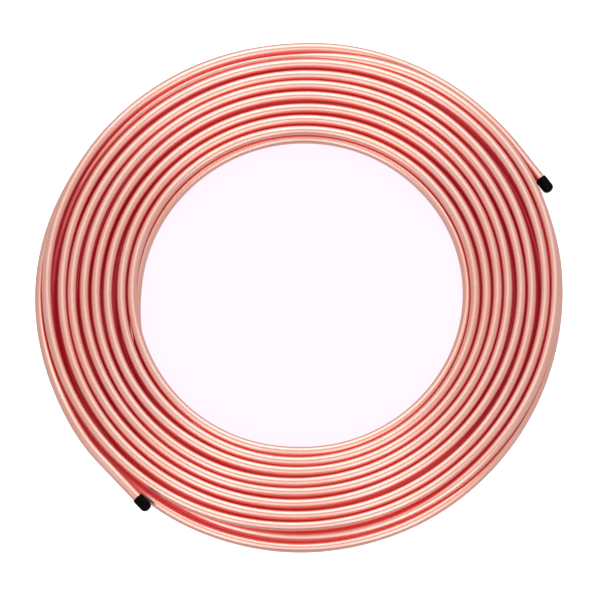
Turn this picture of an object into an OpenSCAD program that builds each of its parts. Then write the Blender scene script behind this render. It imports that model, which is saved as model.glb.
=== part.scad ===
// Pancake coil of soft copper tube, wound in two flat layers, with a soft cap on each tube end.
// Millimetres. The coil lies flat: its axis is Z, it rests on Z = 0, and X = Y = 0 is the centre of its eye.
// The winding is drawn as one turned solid: its turns are closed rings, and a plain web carries them
// between the two layers. The two free ends of the tube leave it along a tangent.

/* [Tube] */
// Outside diameter of the tube
tube_od = 6.35; // [5:0.05:8]
// Wall thickness of the tube
tube_wall = 0.76; // [0.5:0.01:1]

/* [Winding] */
// Diameter of the eye of the coil
eye_d = 208; // [150:1:260]
// Turns in the floor layer; the upper layer has one turn less
turns = 9; // [6:1:12]
// Air between one turn and the next
turn_gap = 1.2; // [0.8:0.05:2]
// Thickness of the web between the two layers
web_t = 2; // [1.5:0.1:3]
// Distance from the web's rim to the centre of the outermost turn
web_short = 1.6; // [1.2:0.1:2]

/* [Starting end, on the floor] */
// Bearing where the starting end leaves the coil, in degrees
start_leaves_at = 37.1; // [20:0.1:60]
// How far round the coil the starting end is carried, in degrees
start_sweep = 32; // [20:1:36]
// Free length of tube between the coil and the starting end's cap
start_run = 30; // [25:0.5:45]
// Air between the starting end and the outermost turn
start_air = 0.05; // [0.02:0.01:0.2]

/* [Finishing end, on top of the outermost turn] */
// Bearing where the finishing end leaves the coil, in degrees
finish_leaves_at = 222.5; // [200:0.1:240]
// How far round the coil the finishing end is carried, in degrees
finish_sweep = 28; // [20:1:60]
// Free length of tube between the coil and the finishing end's cap
finish_run = 30; // [28:0.5:45]
// How far the finishing end lies outside the centre of the outermost turn
finish_out = 0.7; // [0.5:0.05:1]
// Air between the finishing end and the turn under it
finish_air = 0.08; // [0.05:0.01:0.2]

/* [End caps] */
// Overall length of an end cap
cap_len = 10.5; // [8:0.1:14]
// Wall thickness of the sleeve of a cap
cap_wall = 0.6; // [0.5:0.05:0.9]
// Thickness of the closed end of a cap
cap_end = 2.2; // [1:0.1:2.8]
// Radius of the rounded edge at the closed end of a cap
cap_round = 3.2; // [1:0.1:3.4]
// Clearance between a cap and the tube, all round and at the tube's end
cap_fit = 0.05; // [0.02:0.01:0.15]

/* [Hidden] */
$fn = 128;

tube_r = tube_od / 2;
bore_r = tube_r - tube_wall;
pitch = tube_od + turn_gap;
first_r = eye_d / 2 + tube_r;                  // centre radius of the innermost turn
rim_r = first_r + (turns - 1) * pitch;         // centre radius of the outermost turn
floor_z = tube_r;                              // centre height of the floor layer
upper_z = tube_r + tube_od;                    // centre height of the upper layer
web_r = rim_r - web_short;

cap_r = tube_r + cap_fit + cap_wall;
cap_grip = cap_len - cap_end - cap_fit;        // length of tube inside a cap
start_r = rim_r + tube_od + start_air;
start_z = cap_r;                               // the cap lies on the floor, so the tube stands a little proud
finish_r = rim_r + finish_out;
finish_z = upper_z + finish_air;
pad_t = tube_od / 3;                           // a pad carries each tail, and stops short of the tail's ends
pad_in = 3;
joint_gap = 0.4;
joint_skin = 0.03;

// A ring, or a part of one, of the tube's section about the Z axis.
module ring(centre_r, z, from = 0, sweep = 360) {
    translate([0, 0, z])
        rotate([0, 0, from])
            rotate_extrude(angle = sweep)
                translate([centre_r, 0])
                    circle(r = tube_r);
}

// Section through the turns of both layers and the web that joins them.
module winding_section() {
    translate([eye_d / 2, tube_od - web_t / 2])
        square([web_r - eye_d / 2, web_t]);
    for (k = [0 : turns - 1])
        translate([first_r + k * pitch, floor_z])
            circle(r = tube_r);
    for (k = [0 : turns - 2])
        translate([first_r + k * pitch, upper_z])
            circle(r = tube_r);
}

// Places its children where the starting end leaves the coil, with +Z along the tube towards its end.
module at_start() {
    rotate([0, 0, start_leaves_at])
        translate([start_r, 0, start_z])
            rotate([90, 0, 0])
                children();
}

// Places its children where the finishing end leaves the coil, with +Z along the tube towards its end.
module at_finish() {
    rotate([0, 0, finish_leaves_at])
        translate([finish_r, 0, finish_z])
            rotate([-90, 0, 0])
                children();
}

// Straight end of the tube, bored from its open end, with a thin sleeve where the arc behind it takes over.
module free_end(length, depth) {
    difference() {
        translate([0, 0, joint_gap])
            cylinder(r = tube_r, h = length - joint_gap);
        translate([0, 0, length - depth])
            cylinder(r = bore_r, h = depth + 1);
    }
    translate([0, 0, -joint_gap])
        cylinder(r = tube_r + joint_skin, h = 3 * joint_gap);
}

// A short pad of square section about the Z axis, between an arc of tube and the outermost turn.
module pad(centre_r, z, from, sweep) {
    translate([0, 0, z - pad_t / 2])
        rotate([0, 0, from + pad_in])
            rotate_extrude(angle = sweep - 2 * pad_in)
                translate([centre_r - pad_t / 2, 0])
                    square([pad_t, pad_t]);
}

// The starting end with the arc that carries it round the coil, beside the outermost turn.
module start_tail() {
    ring(start_r, start_z, start_leaves_at, start_sweep);
    at_start()
        free_end(start_run + cap_grip, start_run);
    pad((rim_r + start_r) / 2, (floor_z + start_z) / 2, start_leaves_at, start_sweep);
}

// The finishing end with the arc that carries it round the coil, on top of the outermost turn.
module finish_tail() {
    ring(finish_r, finish_z, finish_leaves_at, -finish_sweep);
    at_finish()
        free_end(finish_run + cap_grip, finish_run);
    pad((rim_r + finish_r) / 2, (floor_z + finish_z) / 2, finish_leaves_at - finish_sweep, finish_sweep);
}

// The wound tube with its two free ends.
module tube_coil() {
    color("#c98d78") {
        rotate_extrude()
            winding_section();
        start_tail();
        finish_tail();
    }
}

// Half section of an end cap, from its open rim at y = 0 to its rounded closed end.
module cap_section() {
    difference() {
        union() {
            square([cap_r - cap_round, cap_len]);
            square([cap_r, cap_len - cap_round]);
            translate([cap_r - cap_round, cap_len - cap_round])
                circle(r = cap_round);
        }
        translate([-cap_r, -1])
            square([cap_r + tube_r + cap_fit, cap_len - cap_end + 1]);
        translate([-2 * cap_r, -1])
            square([2 * cap_r, cap_len + 2]);
    }
}

// A soft cap, open at Z = 0 and closed at the top.
module end_cap() {
    color("#1a1a1c")
        rotate_extrude()
            cap_section();
}

module end_cap_start() {
    at_start()
        translate([0, 0, start_run])
            end_cap();
}

module end_cap_finish() {
    at_finish()
        translate([0, 0, finish_run])
            end_cap();
}

tube_coil();
end_cap_start();
end_cap_finish();
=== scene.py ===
"""Looks for a pancake coil of soft copper tube with a black cap on each end.

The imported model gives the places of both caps. The tube itself is drawn here as
one long strand, wound from the cap on the floor, in through the upper layer,
down beside the eye, and out again through the floor layer to the other cap.
"""

import logging
import math
from dataclasses import dataclass, field
from enum import Enum

import bpy
import numpy as np
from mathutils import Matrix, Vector


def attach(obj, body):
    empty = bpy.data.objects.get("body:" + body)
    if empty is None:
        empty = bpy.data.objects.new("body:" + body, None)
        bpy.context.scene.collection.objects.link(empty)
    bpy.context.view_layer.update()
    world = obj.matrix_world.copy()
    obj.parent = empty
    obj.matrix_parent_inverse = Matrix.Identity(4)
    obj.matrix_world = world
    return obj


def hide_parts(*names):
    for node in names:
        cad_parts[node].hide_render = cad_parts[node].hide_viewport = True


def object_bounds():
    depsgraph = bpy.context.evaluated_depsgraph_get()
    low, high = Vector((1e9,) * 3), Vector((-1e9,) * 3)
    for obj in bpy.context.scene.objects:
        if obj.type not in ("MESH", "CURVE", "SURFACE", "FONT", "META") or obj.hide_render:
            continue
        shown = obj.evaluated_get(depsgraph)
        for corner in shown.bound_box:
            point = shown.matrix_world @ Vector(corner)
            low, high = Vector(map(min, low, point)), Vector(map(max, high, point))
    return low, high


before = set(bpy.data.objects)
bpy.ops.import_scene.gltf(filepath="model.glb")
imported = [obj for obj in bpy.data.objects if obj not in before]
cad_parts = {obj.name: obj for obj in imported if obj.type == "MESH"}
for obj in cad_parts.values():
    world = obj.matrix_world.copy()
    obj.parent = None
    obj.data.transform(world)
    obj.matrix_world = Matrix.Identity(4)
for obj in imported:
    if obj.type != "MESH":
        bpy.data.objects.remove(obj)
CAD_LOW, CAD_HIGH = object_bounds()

MM = 0.001
FULL = 360
BODY = "root"
Colour = tuple[float, float, float]
Knot = tuple[float, float, float]
log = logging.getLogger("copper_coil")


# ---------------------------------------------------------------------------
# Shader graphs
# ---------------------------------------------------------------------------


class Graph:
    """A node tree that is filled through one method."""

    def __init__(self, tree: bpy.types.NodeTree) -> None:
        """Empties the tree and keeps it.

        Args:
            tree: the node tree of a material or of the world.
        """
        self.tree = tree
        tree.nodes.clear()

    def add(self, kind: str, settings: dict | None = None, values: dict | None = None) -> bpy.types.Node:
        """Makes one node.

        Args:
            kind: the node's type name.
            settings: the node's own properties, set first.
            values: what each input gets, a plain value or something to link, by input name or number.

        Returns:
            The new node.
        """
        node = self.tree.nodes.new(kind)
        for name, value in (settings or {}).items():
            setattr(node, name, value)
        for key, value in (values or {}).items():
            socket = node.inputs[key]
            if isinstance(value, Wire):
                value = value.socket
            if isinstance(value, bpy.types.NodeSocket):
                self.tree.links.new(value, socket)
            else:
                socket.default_value = value
        return node

    def wire(
        self, kind: str, output: str | int, settings: dict | None = None, values: dict | None = None
    ) -> "Wire":
        """Makes one node and returns one of its outputs, ready for shader maths.

        Args:
            kind: the node's type name.
            output: the output's name or number.
            settings: the node's own properties.
            values: what each input gets.

        Returns:
            The output as a Wire.
        """
        return Wire(self, self.add(kind, settings, values).outputs[output])

    def place(self) -> bpy.types.NodeSocket:
        """Returns the position in the piece's own axes, in metres."""
        return self.add("ShaderNodeTexCoord").outputs["Object"]

    def noise(self, at: bpy.types.NodeSocket, scale: float, detail: float) -> "Wire":
        """Makes a noise.

        Args:
            at: the position that it is read at.
            scale: how fine it is.
            detail: how many finer layers it has.

        Returns:
            The noise, from 0 to 1 and mostly near the middle.
        """
        return self.wire("ShaderNodeTexNoise", 0, {}, {"Vector": at, "Scale": scale, "Detail": detail})

    def mix(self, factor: "Wire", first: object, second: object) -> bpy.types.NodeSocket:
        """Blends two colours.

        Args:
            factor: 0 gives the first colour and 1 the second.
            first: three numbers or a socket.
            second: three numbers or a socket.

        Returns:
            The blended colour output.
        """
        pair = [(*colour, 1.0) if isinstance(colour, tuple) else colour for colour in (first, second)]
        node = self.add("ShaderNodeMix", {"data_type": "RGBA"}, {0: factor, 6: pair[0], 7: pair[1]})
        return node.outputs[2]

    def bump(self, height: "Wire", distance: float, strength: float) -> bpy.types.NodeSocket:
        """Turns a height into a bent normal.

        Args:
            height: the height, from 0 to 1.
            distance: the depth of a height of 1, in metres.
            strength: the share of the bump that is used.

        Returns:
            The normal output.
        """
        values = {"Strength": strength, "Distance": distance, "Height": height}
        return self.add("ShaderNodeBump", {}, values).outputs["Normal"]

    def skin(self, values: dict) -> None:
        """Closes the graph of a material with one surface.

        Args:
            values: what each input of the surface gets.
        """
        shader = self.add("ShaderNodeBsdfPrincipled", {}, values)
        self.add("ShaderNodeOutputMaterial", {}, {"Surface": shader.outputs[0]})


class Wire:
    """A number in a shader graph, with ordinary arithmetic."""

    def __init__(self, graph: Graph, socket: bpy.types.NodeSocket) -> None:
        """Wraps a socket.

        Args:
            graph: the graph that the socket is in.
            socket: an output that carries one number.
        """
        self.graph = graph
        self.socket = socket

    def _math(self, operation: str, first: object, second: object, clamp: bool = False) -> "Wire":
        """Adds one Math node.

        Args:
            operation: what the node does.
            first: a number or a Wire.
            second: a number or a Wire.
            clamp: whether the result is held between 0 and 1.

        Returns:
            The result.
        """
        settings = {"operation": operation, "use_clamp": clamp}
        return self.graph.wire("ShaderNodeMath", 0, settings, {0: first, 1: second})

    def __add__(self, other: object) -> "Wire":
        """Returns self + other."""
        return self._math("ADD", self, other)

    def __radd__(self, other: object) -> "Wire":
        """Returns other + self."""
        return self._math("ADD", other, self)

    def __sub__(self, other: object) -> "Wire":
        """Returns self - other."""
        return self._math("SUBTRACT", self, other)

    def __rsub__(self, other: object) -> "Wire":
        """Returns other - self."""
        return self._math("SUBTRACT", other, self)

    def __mul__(self, other: object) -> "Wire":
        """Returns self * other."""
        return self._math("MULTIPLY", self, other)

    def __rmul__(self, other: object) -> "Wire":
        """Returns other * self."""
        return self._math("MULTIPLY", other, self)

    def __truediv__(self, other: object) -> "Wire":
        """Returns self / other."""
        return self._math("DIVIDE", self, other)

    def __rtruediv__(self, other: object) -> "Wire":
        """Returns other / self."""
        return self._math("DIVIDE", other, self)

    def clamped(self) -> "Wire":
        """Returns self held between 0 and 1."""
        return self._math("ADD", self, 0.0, clamp=True)

    def eased(self, low: float, high: float) -> "Wire":
        """Rises smoothly from 0 to 1.

        Args:
            low: where the rise starts.
            high: where it ends.

        Returns:
            The eased number.
        """
        settings = {"interpolation_type": "SMOOTHSTEP"}
        return self.graph.wire("ShaderNodeMapRange", 0, settings, {0: self, 1: low, 2: high, 3: 0.0, 4: 1.0})


def new_material(name: str) -> tuple[bpy.types.Material, Graph]:
    """Makes an empty node material.

    Args:
        name: the material's name.

    Returns:
        The material and its graph.
    """
    material = bpy.data.materials.new(name)
    material.use_nodes = True
    return material, Graph(material.node_tree)


# ---------------------------------------------------------------------------
# Finishes
# ---------------------------------------------------------------------------


@dataclass(frozen=True)
class DrawnCopper:
    """Bright soft copper as it comes off the drawing bench, with painted reflection and shade between the
    turns: redder where turns face each other, and dark crimson with a faint painted glow deep in the gaps.
    """

    bright: Colour = (0.95, 0.565, 0.505)
    warm: Colour = (0.935, 0.515, 0.432)
    tone_edge: tuple[float, float] = (0.38, 0.62)
    stain: Colour = (0.55, 0.26, 0.18)
    speck_edge: tuple[float, float] = (0.66, 0.74)
    cloud_edge: tuple[float, float] = (0.5, 0.65)
    # Painted light between the turns: a painted reflection on flanks that face other turns, painted shade
    # deep in the gaps, and a faint painted glow there.
    painted_flank_reflection: Colour = (0.88, 0.33, 0.27)
    painted_reflection_edge: tuple[float, float] = (0.18, 0.48)
    painted_crevice_shade: Colour = (0.46, 0.007, 0.024)
    painted_shade_edge: tuple[float, float] = (0.34, 0.66)
    painted_lit_crevice: Colour = (0.82, 0.125, 0.105)
    lit_edge: tuple[float, float] = (0.15, 0.85)
    painted_crevice_glow: Colour = (0.07, 0.0025, 0.005)
    roughness: float = 0.29
    line_scale: float = 1500.0
    line_depth: float = 0.000012
    band_scale: float = 420.0
    cloud_scale: float = 28.0
    speck_scale: float = 700.0

    def material(self) -> bpy.types.Material:
        """Builds the finish.

        Returns:
            The material.
        """
        material, g = new_material("drawn_copper")
        # draw_space is the place on the tube as if it were straight, and much shortened along its length.
        space = g.add("ShaderNodeAttribute", {"attribute_name": "draw_space"}).outputs["Vector"]
        # enclosure is the share of the view from each point that other turns block; it is the mask of the
        # painted reflection, shade and glow between the turns.
        closed = g.wire("ShaderNodeAttribute", "Fac", {"attribute_name": "enclosure"})
        place = g.place()
        lines = g.noise(space, self.line_scale, 3.0)
        bands = g.noise(space, self.band_scale, 2.0)
        cloud = g.noise(place, self.cloud_scale, 3.0)
        specks = g.noise(place, self.speck_scale, 2.0)

        tone = (cloud * 0.6 + bands * 0.4).eased(*self.tone_edge)
        colour = g.mix(tone, self.bright, self.warm)
        stained = specks.eased(*self.speck_edge) * cloud.eased(*self.cloud_edge) * 0.5
        colour = g.mix(stained, colour, self.stain)
        # Painted reflection: flanks that face other turns are painted redder, standing in for light bounced
        # between the copper turns.
        colour = g.mix(closed.eased(*self.painted_reflection_edge), colour, self.painted_flank_reflection)
        # Painted shade: deep in the gaps the colour goes to dark crimson and the surface to a rougher
        # non-metal, standing in for light lost and reddened between the copper turns.
        depth = closed.eased(*self.painted_shade_edge)
        # Light gets further down between the turns at the front and the back of the coil.
        ways = g.add("ShaderNodeSeparateXYZ", {}, {0: place}).outputs
        x, y = Wire(g, ways["X"]), Wire(g, ways["Y"])
        frontal = (y * y / (x * x + y * y + 0.000001)).eased(*self.lit_edge)
        colour = g.mix(depth, colour, g.mix(frontal, self.painted_crevice_shade, self.painted_lit_crevice))

        g.skin({
            "Base Color": colour,
            "Metallic": 1.0 - depth * 0.95,
            "Roughness": self.roughness + lines * 0.08 + cloud * 0.06 + depth * 0.12,
            "Normal": g.bump(lines * 0.7 + bands * 0.3, self.line_depth, 0.5),
            # Painted glow: the deepest gaps between the turns glow faintly red, though nothing there is a
            # lamp.
            "Emission Color": g.mix(depth, (0.0, 0.0, 0.0), self.painted_crevice_glow),
            "Emission Strength": 1.0,
        })
        return material


@dataclass(frozen=True)
class SoftVinyl:
    """Black dipped vinyl with a satin skin, a little dusty on its raised grain."""

    base: Colour = (0.0015, 0.0015, 0.0018)
    dust: Colour = (0.007, 0.0065, 0.0065)
    roughness: float = 0.22
    shine: float = 0.04
    grain_depth: float = 0.00005
    fine_scale: float = 2600.0
    fine_edge: tuple[float, float] = (0.52, 0.72)
    broad_scale: float = 260.0
    broad_edge: tuple[float, float] = (0.40, 0.60)

    def material(self) -> bpy.types.Material:
        """Builds the finish.

        Returns:
            The material.
        """
        material, g = new_material("soft_vinyl")
        place = g.place()
        fine = g.noise(place, self.fine_scale, 3.0)
        broad = g.noise(place, self.broad_scale, 2.0)
        dusty = fine.eased(*self.fine_edge) * broad.eased(*self.broad_edge) * 0.7
        g.skin({
            "Base Color": g.mix(dusty, self.base, self.dust),
            "Metallic": 0.0,
            "Roughness": self.roughness + fine * 0.08 + dusty * 0.25,
            "Specular IOR Level": self.shine,
            "Normal": g.bump(fine * 0.6 + broad * 0.8, self.grain_depth, 0.6),
        })
        return material


@dataclass(frozen=True)
class PalePaper:
    """White background paper with a faint fibre, shaded under the coil. Its edges are radii in metres."""

    tint: Colour = (0.93, 0.92, 0.93)
    glow: Colour = (0.85, 0.85, 0.85)
    shade: Colour = (0.70, 0.05, 0.07)
    shade_glow: Colour = (0.22, 0.008, 0.016)
    eye_tint: Colour = (0.14, 0.09, 0.14)
    eye_glow: Colour = (0.92, 0.84, 0.92)
    eye_edge: tuple[float, float] = (0.108, 0.112)
    rim_edge: tuple[float, float] = (0.1660, 0.1675)
    roughness: float = 0.9
    fibre_scale: float = 900.0
    fibre_edge: tuple[float, float] = (0.4, 0.6)
    fibre_share: float = 0.015

    def material(self) -> bpy.types.Material:
        """Builds the finish.

        Returns:
            The material.
        """
        material, g = new_material("pale_paper")
        place = g.place()
        fibre = g.noise(place, self.fibre_scale, 3.0).eased(*self.fibre_edge) * self.fibre_share
        radius = g.wire("ShaderNodeVectorMath", "Value", {"operation": "LENGTH"}, {0: place})
        past_eye = radius.eased(*self.eye_edge)
        past_rim = radius.eased(*self.rim_edge)
        colour = g.mix(past_rim, g.mix(past_eye, self.eye_tint, self.shade), self.tint)
        g.skin({
            "Base Color": g.mix(fibre, colour, (0.0, 0.0, 0.0)),
            "Roughness": self.roughness,
            "Emission Color": g.mix(past_rim, g.mix(past_eye, self.eye_glow, self.shade_glow), self.glow),
            "Emission Strength": 1.0,
        })
        return material


@dataclass(frozen=True)
class FlagCloth:
    """Dark brown cloth of the flag that the tube mirrors."""

    dark: Colour = (0.10, 0.07, 0.06)
    light: Colour = (0.16, 0.12, 0.10)
    roughness: float = 0.95
    weave_scale: float = 300.0

    def material(self) -> bpy.types.Material:
        """Builds the finish.

        Returns:
            The material.
        """
        material, g = new_material("flag_cloth")
        weave = g.noise(g.place(), self.weave_scale, 2.0)
        g.skin({"Base Color": g.mix(weave.clamped(), self.dark, self.light), "Roughness": self.roughness})
        return material


# ---------------------------------------------------------------------------
# The tube
# ---------------------------------------------------------------------------


class Layer(Enum):
    """Height of the tube's centre in each layer, in millimetres."""

    FLOOR = 3.175
    UPPER = 9.525


LOW = Layer.FLOOR.value
TOP = Layer.UPPER.value


@dataclass(frozen=True)
class CapSeat:
    """Where a cap sits: the centre of its mouth, and the way it points. Lengths are in millimetres."""

    mouth: np.ndarray
    heading: np.ndarray

    @classmethod
    def of(cls, node: bpy.types.Object) -> "CapSeat":
        """Reads a cap's place from its CAD node.

        Args:
            node: the cap's object.

        Returns:
            The seat.
        """
        angle_step, end_slice = 0.05, 0.1
        points = np.array([v.co for v in node.data.vertices], float) / MM
        # Seen from above the cap is narrowest across its own heading.
        angles = np.radians(np.arange(0.0, FULL / 2, angle_step))
        across = np.stack([-np.sin(angles), np.cos(angles)])
        angle = angles[np.ptp(points[:, :2] @ across, axis=0).argmin()]
        heading = np.array([math.cos(angle), math.sin(angle), 0.0])
        beside = np.array([-heading[1], heading[0], 0.0])
        along, aside = points @ heading, points @ beside
        # The mouth is the wider end, because the closed end is rounded.
        back, front = along < along.min() + end_slice, along > along.max() - end_slice
        if np.ptp(aside[back]) < np.ptp(aside[front]):
            heading, along = -heading, -along
        height = (points[:, 2].min() + points[:, 2].max()) / 2
        middle = (aside.min() + aside.max()) / 2
        return cls(along.min() * heading + middle * beside + np.array([0.0, 0.0, height]), heading)


@dataclass
class Winding:
    """The line that the tube's centre follows. Lengths are in millimetres and bearings in degrees."""

    # Straight tube between the coil and a cap, and inside the cap.
    run: float = 30.0
    grip: float = 8.25
    # Points in one turn and in a straight end, and how often the curve is softened.
    per_turn: int = 160
    end_points: int = 14
    passes: int = 6
    # Bearing where the turns of each layer are counted from.
    turns_from: int = 180
    # From the starting end over the rim into the upper layer: bearing, radius and height.
    lead_in: tuple[Knot, ...] = (
        (45, 173.1, 3.9), (52, 173.1, 3.9), (60, 172.5, 3.9), (67, 172.0, 4.9), (74, 170.9, 6.9),
        (82, 169.7, 9.0), (90, 168.2, TOP), (105, 167.2, TOP), (120, 166.5, TOP), (135, 166.3, TOP),
        (150, 165.4, TOP), (165, 164.6, TOP),
    )
    # Upper layer: one row a turn, with its radius at every 30 degrees.
    upper: tuple[tuple[float, ...], ...] = (
        (162.9, 160.5, 158.0, 155.0, 154.7, 155.9, 159.6, 162.3, 161.2, 157.7, 155.5, 154.8),
        (153.3, 151.6, 149.7, 147.7, 147.6, 148.7, 150.9, 152.9, 152.8, 150.0, 147.4, 147.2),
        (146.9, 144.7, 142.1, 139.8, 139.0, 140.4, 143.9, 145.4, 145.3, 143.3, 140.9, 139.8),
        (139.0, 136.8, 134.7, 132.1, 132.0, 133.1, 135.5, 137.7, 137.8, 135.7, 133.5, 132.2),
        (131.4, 129.8, 127.8, 125.3, 125.0, 126.4, 128.7, 130.7, 130.0, 127.4, 125.1, 124.3),
        (123.6, 122.3, 119.4, 118.0, 118.3, 119.7, 121.6, 122.6, 121.7, 119.7, 117.6, 116.5),
        (114.8, 113.7, 112.2, 111.4, 111.8, 113.1, 114.4, 114.9, 114.0, 112.3, 110.5, 109.2),
    )
    # Down beside the eye.
    descent: tuple[Knot, ...] = (
        (180, 107.9, TOP), (195, 107.1, TOP), (210, 106.5, TOP), (225, 106.1, TOP), (240, 105.7, TOP),
        (255, 105.2, TOP), (270, 104.7, 9.2), (285, 105.2, 8.4), (300, 105.6, 7.6), (315, 106.3, 6.8),
        (330, 107.2, 6.2), (345, 108.3, 5.7), (360, 109.3, 5.3), (375, 109.8, 5.3), (390, 109.9, 5.3),
        (405, 109.6, 5.2), (420, 109.4, 5.0), (435, 108.8, 4.8), (450, 108.0, 4.7), (465, 107.0, 4.7),
        (480, 106.0, 4.7), (495, 105.2, 4.6), (510, 104.9, 4.3), (525, 104.9, 3.8), (540, 105.2, 3.4),
    )
    # Floor layer: radii of its innermost and outermost turn, and the bearings where each turn steps outwards.
    floor_turns: int = 8
    floor_inner: tuple[float, ...] = (
        112.6, 113.4, 114.1, 114.6, 115.0, 116.4, 118.0, 118.7, 117.8, 116.0, 114.1, 112.8,
    )
    floor_outer: tuple[float, ...] = (
        153.3, 153.4, 153.6, 153.9, 154.4, 157.8, 160.6, 161.3, 159.6, 157.6, 156.2, 154.4,
    )
    floor_spacing: int = 15
    step_from: float = 165.0
    step_to: float = 285.0
    # Up over the rim, twice round it, and up again to the finishing end.
    rim_turns: int = 2
    rim: tuple[Knot, ...] = (
        (285, 160.5, LOW), (300, 161.0, 4.2), (306, 161.5, 5.6), (312, 162.0, 7.2), (318, 162.4, 8.6),
        (326, 162.9, TOP), (345, 164.6, TOP), (360, 166.1, TOP), (375, 168.3, TOP), (390, 169.2, TOP),
        (405, 168.8, TOP), (420, 167.7, TOP), (428, 166.4, 9.5), (435, 165.1, 9.0), (442, 163.9, 7.8),
        (450, 163.1, 6.3), (465, 162.1, 6.2), (480, 161.7, 6.2), (495, 161.3, 5.4), (510, 160.7, 4.2),
        (525, 160.1, 3.3), (540, 159.9, LOW), (555, 160.7, LOW), (570, 162.1, LOW), (585, 163.9, LOW),
        (600, 165.8, LOW), (615, 166.8, LOW), (630, 167.6, LOW), (645, 167.5, LOW), (660, 167.5, LOW),
        (675, 167.0, LOW), (690, 166.7, LOW), (705, 166.8, LOW), (720, 167.7, LOW), (735, 169.1, LOW),
        (750, 168.4, LOW), (757, 167.5, LOW), (765, 166.8, LOW), (780, 166.1, LOW), (790, 165.8, LOW),
        (798, 166.3, LOW), (806, 168.1, LOW), (813, 169.5, LOW), (825, 169.3, LOW), (840, 168.5, LOW),
        (855, 167.6, LOW), (870, 166.5, LOW), (885, 167.4, LOW), (900, 167.7, 3.5), (910, 167.4, 5.0),
        (920, 167.5, 7.4), (929, 168.0, 9.3), (936, 168.8, 9.6),
    )

    @staticmethod
    def _ease(value: float, low: float, high: float) -> float:
        """Rises smoothly from 0 to 1.

        Args:
            value: the number that is eased.
            low: where the rise starts.
            high: where it ends.

        Returns:
            The eased number.
        """
        t = min(max((value - low) / (high - low), 0.0), 1.0)
        return t * t * (3 - 2 * t)

    def _upper_rows(self) -> list[Knot]:
        """Lists the knots of the upper layer and of the way down.

        Returns:
            Rows of running bearing, radius and height.
        """
        spacing = FULL / len(self.upper[0])
        rows = []
        for turn, radii in enumerate(self.upper):
            for i, radius in enumerate(radii):
                rows.append((self.turns_from + spacing * i + FULL * turn, radius, TOP))
        done = FULL * len(self.upper)
        return rows + [(b + done, r, z) for b, r, z in self.descent]

    def _floor_rows(self) -> list[Knot]:
        """Lists the knots of the floor layer, evenly spaced between its innermost and outermost turn.

        Returns:
            Rows of running bearing, radius and height.
        """
        spacing = FULL / len(self.floor_inner)
        bearings = self.turns_from + spacing * np.arange(len(self.floor_inner) + 1)
        inner = [*self.floor_inner, self.floor_inner[0]]
        outer = [*self.floor_outer, self.floor_outer[0]]
        done = FULL * (len(self.upper) + 1)
        rows = []
        for turn in range(self.floor_turns):
            stop = self.turns_from + FULL if turn < self.floor_turns - 1 else self.rim[0][0]
            for b in range(self.turns_from + self.floor_spacing, stop, self.floor_spacing):
                low, high = np.interp(b, bearings, inner), np.interp(b, bearings, outer)
                place = turn - 1 + self._ease(b, self.step_from, self.step_to)
                radius = low + (high - low) * place / (self.floor_turns - 2)
                rows.append((b + done + FULL * turn, radius, LOW))
        return rows

    def knots(self, first: Knot, last: Knot) -> np.ndarray:
        """Lists the points that the winding passes through.

        Args:
            first: bearing, radius and height where the starting end leaves the coil.
            last: the same for the finishing end, with its bearing in one turn.

        Returns:
            Rows of running bearing, radius and height.
        """
        done = FULL * (len(self.upper) + self.floor_turns)
        rows = [first, *self.lead_in, *self._upper_rows(), *self._floor_rows()]
        rows += [(b + done, r, z) for b, r, z in self.rim]
        rows.append((last[0] + FULL * self.rim_turns + done, last[1], last[2]))
        return np.array(rows, float)

    def _smooth(self, x: np.ndarray, y: np.ndarray, at: np.ndarray) -> np.ndarray:
        """Draws a smooth curve through knots, level at both ends, and softens it.

        Args:
            x: the knots' bearings, rising.
            y: the knots' values.
            at: the bearings where the curve is wanted.

        Returns:
            The curve's values.
        """
        gap = np.diff(x)
        slope = np.diff(y) / gap
        lean = np.empty_like(y)
        lean[0] = lean[-1] = 0.0
        lean[1:-1] = (gap[1:] * slope[:-1] + gap[:-1] * slope[1:]) / (gap[1:] + gap[:-1])
        i = np.clip(np.searchsorted(x, at) - 1, 0, len(x) - 2)
        t = (at - x[i]) / gap[i]
        a, b = 2 * t**3 - 3 * t**2 + 1, t**3 - 2 * t**2 + t
        c, d = 3 * t**2 - 2 * t**3, t**3 - t**2
        curve = y[i] * a + gap[i] * lean[i] * b + y[i + 1] * c + gap[i] * lean[i + 1] * d
        for _ in range(self.passes):
            curve[1:-1] = (curve[:-2] + 2 * curve[1:-1] + curve[2:]) / 4
        return curve

    def course(self, start: CapSeat, finish: CapSeat) -> np.ndarray:
        """Works out the tube's centre line from end to end.

        Args:
            start: the seat of the starting end's cap.
            finish: the seat of the finishing end's cap.

        Returns:
            The points in millimetres.
        """
        ends = []
        for seat in (start, finish):
            leave = seat.mouth - self.run * seat.heading
            bearing = math.degrees(math.atan2(leave[1], leave[0])) % FULL
            ends.append((bearing, math.hypot(leave[0], leave[1]), leave[2]))
        knots = self.knots(*ends)
        count = round((knots[-1, 0] - knots[0, 0]) / FULL * self.per_turn)
        bearing = np.linspace(knots[0, 0], knots[-1, 0], count + 1)
        radius = self._smooth(knots[:, 0], knots[:, 1], bearing)
        height = np.maximum(self._smooth(knots[:, 0], knots[:, 2], bearing), LOW)
        angle = np.radians(bearing)
        wound = np.stack([radius * np.cos(angle), radius * np.sin(angle), height], 1)
        out = np.linspace(self.run + self.grip, 0.0, self.end_points)[:-1, None]
        lead = wound[0] + out * start.heading
        tail = wound[-1] + out[::-1] * finish.heading
        return np.concatenate([lead, wound, tail])


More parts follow.
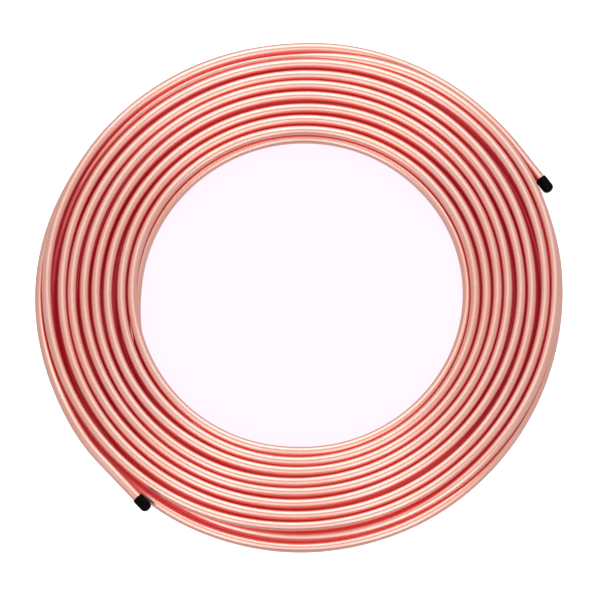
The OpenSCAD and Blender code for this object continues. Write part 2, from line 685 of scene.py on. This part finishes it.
@dataclass
class CopperTube:
    """The whole length of tube, from inside one cap to inside the other. Lengths are in millimetres."""

    outside_d: float = 6.35
    wall: float = 0.76
    bore_shown: float = 14.0
    sides: int = 32
    # Views tried from each point: how many, up to what angle in degrees, and how far in tube radii.
    views: int = 13
    view_half: float = 78.0
    view_reach: float = 5.0
    # How much the tube is shortened along its length before the drawing lines are laid on it.
    line_stretch: float = 0.02
    winding: Winding = field(default_factory=Winding)
    finish: DrawnCopper = field(default_factory=DrawnCopper)

    def build(self, start: CapSeat, finish: CapSeat) -> bpy.types.Object:
        """Makes the tube's mesh and hides the turned solid that it stands for.

        Args:
            start: the seat of the starting end's cap.
            finish: the seat of the finishing end's cap.

        Returns:
            The tube.
        """
        line = self.winding.course(start, finish)
        side, up = self._frames(line)
        turn = np.arange(self.sides) * 2 * math.pi / self.sides
        ring = np.cos(turn)[None, :, None] * side[:, None] + np.sin(turn)[None, :, None] * up[:, None]
        outside = line[:, None] + ring * self.outside_d / 2
        near, far = (self._bore(line, ring, end, step) for end, step in ((0, 1), (-1, -1)))
        points = np.concatenate([near[::-1], outside, far])
        rings = len(points)
        mesh = bpy.data.meshes.new("copper_tube")
        mesh.from_pydata((points.reshape(-1, 3) * MM).tolist(), [], self._faces(rings))
        mesh.polygons.foreach_set("use_smooth", np.ones(len(mesh.polygons), bool))
        self._sharpen(mesh, {1, 2, rings - 3, rings - 2})
        self._attributes(mesh, line, self._enclosure(line, side, up, turn), turn)
        mesh.validate()
        mesh.update()
        tube = bpy.data.objects.new("copper_tube", mesh)
        bpy.context.scene.collection.objects.link(tube)
        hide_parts("tube_coil")
        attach(tube, BODY)
        length = np.linalg.norm(np.diff(line, axis=0), axis=1).sum()
        log.info("tube: %.2f m from end to end", length * MM)
        return tube

    def dress(self, tube: bpy.types.Object) -> None:
        """Gives the tube its finish.

        Args:
            tube: the object that build made.
        """
        tube.data.materials.append(self.finish.material())

    @staticmethod
    def _frames(line: np.ndarray) -> tuple[np.ndarray, np.ndarray]:
        """Works out two directions square to the line at each of its points.

        Args:
            line: the points of the centre line.

        Returns:
            The level direction and the upward one.
        """
        way = np.gradient(line, axis=0)
        way /= np.linalg.norm(way, axis=1)[:, None]
        side = np.cross(way, (0.0, 0.0, 1.0))
        side /= np.linalg.norm(side, axis=1)[:, None]
        return side, np.cross(side, way)

    def _bore(self, line: np.ndarray, ring: np.ndarray, end: int, step: int) -> np.ndarray:
        """Places the two rings of the bore at one end of the tube.

        Args:
            line: the points of the centre line.
            ring: the outward directions round each point.
            end: which point of the line is the end.
            step: how to count from it into the tube.

        Returns:
            The ring at the mouth, then the one at the bottom of the bore.
        """
        way = line[end + step] - line[end]
        way = way / np.linalg.norm(way) * self.bore_shown
        inside = ring[end] * (self.outside_d / 2 - self.wall)
        return np.stack([line[end] + inside, line[end] + way + inside])

    def _faces(self, rings: int) -> list[tuple[int, ...]]:
        """Joins each ring to the next, and closes the bottoms of the bores.

        Args:
            rings: how many rings there are.

        Returns:
            The faces, as numbers of points.
        """
        n = self.sides
        faces = [
            (i * n + j, i * n + (j + 1) % n, (i + 1) * n + (j + 1) % n, (i + 1) * n + j)
            for i in range(rings - 1)
            for j in range(n)
        ]
        faces.append(tuple(range(n - 1, -1, -1)))
        faces.append(tuple((rings - 1) * n + j for j in range(n)))
        return [tuple(reversed(f)) for f in faces]

    def _sharpen(self, mesh: bpy.types.Mesh, rings: set[int]) -> None:
        """Marks the rims at both mouths of the tube as sharp.

        Args:
            mesh: the tube's mesh.
            rings: numbers of the rings to mark.
        """
        sharp = mesh.attributes.new("sharp_edge", "BOOLEAN", "EDGE")
        for edge in mesh.edges:
            first, second = (vertex // self.sides for vertex in edge.vertices)
            sharp.data[edge.index].value = first == second and first in rings

    def _enclosure(self, line: np.ndarray, side: np.ndarray, up: np.ndarray, turn: np.ndarray) -> np.ndarray:
        """Finds how much of the view from each point of the tube its other turns block.

        Each turn is taken as a straight tube of the same width where it passes, so that a fan
        of views in the plane of each ring is enough.

        Args:
            line: the points of the centre line.
            side: the level direction at each point.
            up: the upward direction at each point.
            turn: the angles round a ring.

        Returns:
            The blocked share, from 0 to 1, with a row for each point of the line.
        """
        radius = self.outside_d / 2
        bearing = np.unwrap(np.arctan2(line[:, 1], line[:, 0]))
        fan = np.radians(np.linspace(-self.view_half, self.view_half, self.views))
        way = turn[:, None] + fan
        ahead, across = np.cos(way), np.sin(way)
        spot = radius * np.stack([np.cos(turn), np.sin(turn)], 1)
        blocked = np.zeros((len(line), self.sides, self.views), bool)
        laps = int((bearing[-1] - bearing[0]) / (2 * math.pi)) + 1
        for lap in range(-laps, laps + 1):
            at = bearing + lap * 2 * math.pi
            rows = np.flatnonzero((at >= bearing[0]) & (at <= bearing[-1]))
            if not lap or not len(rows):
                continue
            away = np.stack([np.interp(at[rows], bearing, line[:, k]) for k in range(3)], 1) - line[rows]
            x = (away * side[rows]).sum(1)
            y = (away * up[rows]).sum(1)
            close = np.hypot(x, y) < self.view_reach * radius
            dx = x[close][:, None, None] - spot[None, :, 0, None]
            dy = y[close][:, None, None] - spot[None, :, 1, None]
            hit = (dx * ahead + dy * across > 0) & (np.abs(dx * across - dy * ahead) < radius)
            blocked[rows[close]] |= hit
        weight = np.cos(fan)
        return (blocked * weight).sum(2) / weight.sum()

    def _attributes(
        self, mesh: bpy.types.Mesh, line: np.ndarray, closed: np.ndarray, turn: np.ndarray
    ) -> None:
        """Stores what the finish reads at each point of the mesh.

        Args:
            mesh: the tube's mesh.
            line: the points of the centre line.
            closed: the blocked share at each point.
            turn: the angles round a ring.
        """
        bores = 2
        radius = self.outside_d / 2
        closed = np.pad(closed, ((bores, bores), (0, 0)))
        along = np.concatenate([[0.0], np.cumsum(np.linalg.norm(np.diff(line, axis=0), axis=1))])
        along = np.pad(along, bores, mode="edge")
        space = np.empty((len(along), self.sides, 3))
        space[..., 0] = np.cos(turn) * radius * MM
        space[..., 1] = np.sin(turn) * radius * MM
        space[..., 2] = along[:, None] * MM * self.line_stretch
        attribute = mesh.attributes.new("enclosure", "FLOAT", "POINT")
        attribute.data.foreach_set("value", closed.ravel().astype(np.float32))
        attribute = mesh.attributes.new("draw_space", "FLOAT_VECTOR", "POINT")
        attribute.data.foreach_set("vector", space.ravel().astype(np.float32))


@dataclass
class EndCaps:
    """The two soft caps. Their shape is the CAD's own."""

    nodes: tuple[str, ...] = ("end_cap_start", "end_cap_finish")
    finish: SoftVinyl = field(default_factory=SoftVinyl)

    def build(self) -> list[bpy.types.Object]:
        """Finds the caps.

        Returns:
            The two CAD objects.
        """
        return [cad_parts[name] for name in self.nodes]

    def dress(self, caps: list[bpy.types.Object]) -> None:
        """Gives the caps their finish.

        Args:
            caps: the objects that build found.
        """
        material = self.finish.material()
        for cap in caps:
            if not cap.material_slots:
                cap.data.materials.append(material)
            for slot in cap.material_slots:
                slot.material = material


# ---------------------------------------------------------------------------
# The studio
# ---------------------------------------------------------------------------


@dataclass(frozen=True)
class Softbox:
    """One soft lamp aimed at the coil. Lengths are in metres and angles in degrees."""

    name: str
    bearing: float
    height: float
    away: float
    across: float
    tall: float
    glow: float
    colour: Colour = (1.0, 0.985, 0.98)

    def build(self) -> None:
        """Makes the lamp."""
        data = bpy.data.lights.new(self.name, "AREA")
        data.shape = "RECTANGLE"
        data.size, data.size_y = self.across, self.tall
        data.energy = self.glow * math.pi * self.across * self.tall
        data.color = self.colour
        lamp = bpy.data.objects.new(self.name, data)
        turn, rise = math.radians(self.bearing), math.radians(self.height)
        way = Vector((math.cos(turn) * math.cos(rise), math.sin(turn) * math.cos(rise), math.sin(rise)))
        lamp.location = way * self.away
        lamp.rotation_euler = (-way).to_track_quat("-Z", "Y").to_euler()
        bpy.context.scene.collection.objects.link(lamp)


def board(
    name: str, corners: list[tuple[float, float, float]], finish: bpy.types.Material
) -> bpy.types.Object:
    """Makes a flat board and puts it in the scene.

    Args:
        name: the board's name.
        corners: its four corners in order.
        finish: its material.

    Returns:
        The board.
    """
    mesh = bpy.data.meshes.new(name)
    mesh.from_pydata(corners, [], [tuple(range(len(corners)))])
    mesh.materials.append(finish)
    piece = bpy.data.objects.new(name, mesh)
    bpy.context.scene.collection.objects.link(piece)
    return piece


@dataclass
class Studio:
    """Floor, lights, flag and camera. Lengths are in metres and angles in degrees."""

    floor_half: float = 6.0
    paper: PalePaper = field(default_factory=PalePaper)
    sky: Colour = (1.0, 0.97, 0.945)
    sky_strength: float = 0.63
    lamps: tuple[Softbox, ...] = (
        Softbox("back_right", 75.0, 42.0, 1.8, 0.80, 1.45, 1.70),
        Softbox("back_left", 105.0, 42.0, 1.8, 0.80, 1.45, 1.70),
        Softbox("front_left", 239.0, 42.0, 1.8, 0.80, 1.45, 1.70),
        Softbox("front_right", 301.0, 42.0, 1.8, 0.80, 1.45, 1.70),
        Softbox("overhead", 90.0, 73.4, 1.7, 0.5, 0.5, 0.20),
    )
    flag_half: float = 1.6
    flag_front: float = -1.5
    flag_low: float = 0.05
    flag_high: float = 0.6
    cloth: FlagCloth = field(default_factory=FlagCloth)
    # The camera stands far off, so that the coil is seen almost without perspective.
    elevation: float = 73.4
    distance: float = 12.0
    width_seen: float = 0.3883
    aim: tuple[float, float, float] = (0.00082, -0.00169, 0.00635)
    film_width: float = 36.0
    near: float = 0.05
    far: float = 30.0

    def build(self) -> None:
        """Makes the floor, the lights, the flag and the camera."""
        self._floor()
        self._sky()
        for lamp in self.lamps:
            lamp.build()
        self._flag()
        self._camera()
        log.info("studio: floor, %d lamps, one flag and the camera", len(self.lamps))

    def _floor(self) -> None:
        """Makes the floor, which the tube does not mirror."""
        h = self.floor_half
        z = CAD_LOW.z
        floor = board("floor", [(-h, -h, z), (h, -h, z), (h, h, z), (-h, h, z)], self.paper.material())
        floor.visible_glossy = False

    def _sky(self) -> None:
        """Lights the scene evenly from all round."""
        world = bpy.data.worlds.new("studio")
        world.use_nodes = True
        bpy.context.scene.world = world
        g = Graph(world.node_tree)
        light = g.add("ShaderNodeBackground", {}, {"Color": (*self.sky, 1.0), "Strength": self.sky_strength})
        g.add("ShaderNodeOutputWorld", {}, {"Surface": light.outputs[0]})

    def _flag(self) -> None:
        """Stands the flag in front of the coil, out of the camera's sight."""
        left, right, y = -self.flag_half, self.flag_half, self.flag_front
        low, high = self.flag_low, self.flag_high
        corners = [(left, y, low), (right, y, low), (right, y, high), (left, y, high)]
        flag = board("flag", corners, self.cloth.material())
        flag.visible_camera = False

    def _camera(self) -> None:
        """Aims the camera at the coil."""
        data = bpy.data.cameras.new("camera")
        data.sensor_width = self.film_width
        data.lens = self.film_width * self.distance / self.width_seen
        data.clip_start, data.clip_end = self.near, self.far
        camera = bpy.data.objects.new("camera", data)
        tilt = math.radians(self.elevation)
        back = Vector((0.0, -math.cos(tilt), math.sin(tilt)))
        camera.location = Vector(self.aim) + back * self.distance
        camera.rotation_euler = (-back).to_track_quat("-Z", "Y").to_euler()
        bpy.context.scene.collection.objects.link(camera)
        bpy.context.scene.camera = camera
        bpy.context.scene.view_settings.view_transform = "Standard"


def main() -> None:
    """Builds everything in order and writes down how big it came out."""
    logging.basicConfig(level=logging.INFO, format="%(message)s")
    Studio().build()
    caps = EndCaps()
    both = caps.build()
    caps.dress(both)
    tube = CopperTube()
    strand = tube.build(CapSeat.of(both[0]), CapSeat.of(both[1]))
    tube.dress(strand)
    for piece in (*both, strand):
        log.info("%s: %d faces", piece.name, len(piece.data.polygons))


if __name__ == "__main__":
    main()
